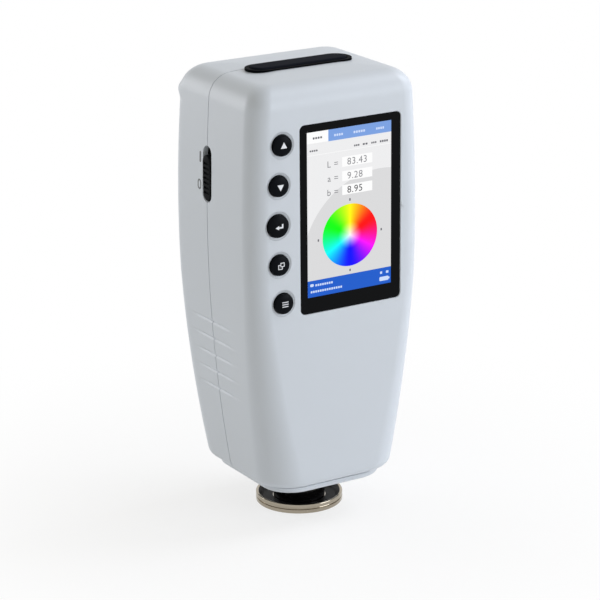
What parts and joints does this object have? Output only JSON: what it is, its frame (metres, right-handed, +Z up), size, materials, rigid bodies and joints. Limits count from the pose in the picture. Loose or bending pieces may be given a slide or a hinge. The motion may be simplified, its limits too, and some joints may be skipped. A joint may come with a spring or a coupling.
{
  "type": "colorimeter",
  "caption": "Upright handheld colorimeter in a tapering two-part housing, with a colour display, round keys, a test button on top and a round measuring head underneath.",
  "frame": {"origin": "centre of the measuring head's axis on the surface that the locating ring stands on, which is also the middle of the bounding box's underside", "axes": "+Z up along the measuring axis, -Y out of the front face with the display and keys, +X to the right as seen from the front"},
  "size_m": [0.089, 0.0737, 0.2065],
  "materials": {
    "shell": "fine satin, pale blue-grey",
    "key_black": "glossy",
    "button_black": "satin",
    "trim_black": "satin",
    "knob_black": "satin",
    "window_black": "polished, black border round a lit screen",
    "display_panel": "smooth",
    "inner_black": "matte",
    "switch_black": "matte",
    "circuit_board": "satin",
    "socket_metal": "brushed",
    "screw_steel": "bright",
    "contact_metal": "bright",
    "cell_wrap": "shrink film",
    "ring_chrome": "polished",
    "neck_black": "glossy",
    "seal_rubber": "matte",
    "optic_glass": "clear",
    "sphere_white": "matte white, diffusing"
  },
  "bodies": {
    "housing": {"front_shell": "shell", "rear_shell": "shell", "battery_pack": "cell_wrap", "battery_contact_left": "contact_metal", "battery_contact_right": "contact_metal", "display_window": "window_black", "display_module": "display_panel", "display_frame": "inner_black", "main_board": "circuit_board", "test_button_bezel": "trim_black", "test_button_board": "circuit_board", "test_button_switch": "switch_black", "power_switch_body": "switch_black", "power_switch_board": "circuit_board", "dc_jack": "inner_black", "data_socket": "socket_metal", "socket_board": "circuit_board", "locating_ring": "ring_chrome", "measuring_neck": "neck_black", "neck_seal": "seal_rubber", "aperture_insert": "inner_black", "dust_window": "optic_glass", "optics_bracket": "inner_black", "sphere_lower": "sphere_white", "sphere_upper": "sphere_white", "lamp_board": "circuit_board", "sensor_tube": "inner_black", "sensor_lens": "optic_glass", "sensor_board": "circuit_board", "key_up_switch": "switch_black", "key_down_switch": "switch_black", "key_enter_switch": "switch_black", "key_back_switch": "switch_black", "key_menu_switch": "switch_black", "housing_screw_1": "screw_steel", "board_screw_1": "screw_steel", "optics_screw_1": "screw_steel", "housing_screw_2": "screw_steel", "board_screw_2": "screw_steel", "optics_screw_2": "screw_steel", "housing_screw_3": "screw_steel", "board_screw_3": "screw_steel", "optics_screw_3": "screw_steel", "housing_screw_4": "screw_steel", "board_screw_4": "screw_steel", "optics_screw_4": "screw_steel", "button_board_screw_1": "screw_steel", "button_board_screw_2": "screw_steel"},
    "key_up": {"key_up": "key_black"},
    "key_down": {"key_down": "key_black"},
    "key_enter": {"key_enter": "key_black"},
    "key_back": {"key_back": "key_black"},
    "key_menu": {"key_menu": "key_black"},
    "test_button": {"test_button": "button_black"},
    "power_switch_knob": {"power_switch_knob": "knob_black"},
    "battery_cover": {"battery_cover": "shell"}
  },
  "joints": [
    {"name": "key_up_press", "type": "slide", "parent": "housing", "child": "key_up", "axis": [0, 1, 0], "range_m": [0, 0.0005], "stiffness_N_per_m": 1500},
    {"name": "key_down_press", "type": "slide", "parent": "housing", "child": "key_down", "axis": [0, 1, 0], "range_m": [0, 0.0005], "stiffness_N_per_m": 1500},
    {"name": "key_enter_press", "type": "slide", "parent": "housing", "child": "key_enter", "axis": [0, 1, 0], "range_m": [0, 0.0005], "stiffness_N_per_m": 1500},
    {"name": "key_back_press", "type": "slide", "parent": "housing", "child": "key_back", "axis": [0, 1, 0], "range_m": [0, 0.0005], "stiffness_N_per_m": 1500},
    {"name": "key_menu_press", "type": "slide", "parent": "housing", "child": "key_menu", "axis": [0, 1, 0], "range_m": [0, 0.0005], "stiffness_N_per_m": 1500},
    {"name": "test_button_press", "type": "slide", "parent": "housing", "child": "test_button", "axis": [0, 0, -1], "range_m": [0, 0.0012], "stiffness_N_per_m": 1200, "springref_m": -0.0005},
    {"name": "power_switch_slide", "type": "slide", "parent": "housing", "child": "power_switch_knob", "axis": [0, 0, 1], "range_m": [0, 0.0039]},
    {"name": "battery_cover_lift", "type": "slide", "parent": "housing", "child": "battery_cover", "axis": [0, 1, 0], "range_m": [0, 0.03]}
  ]
}
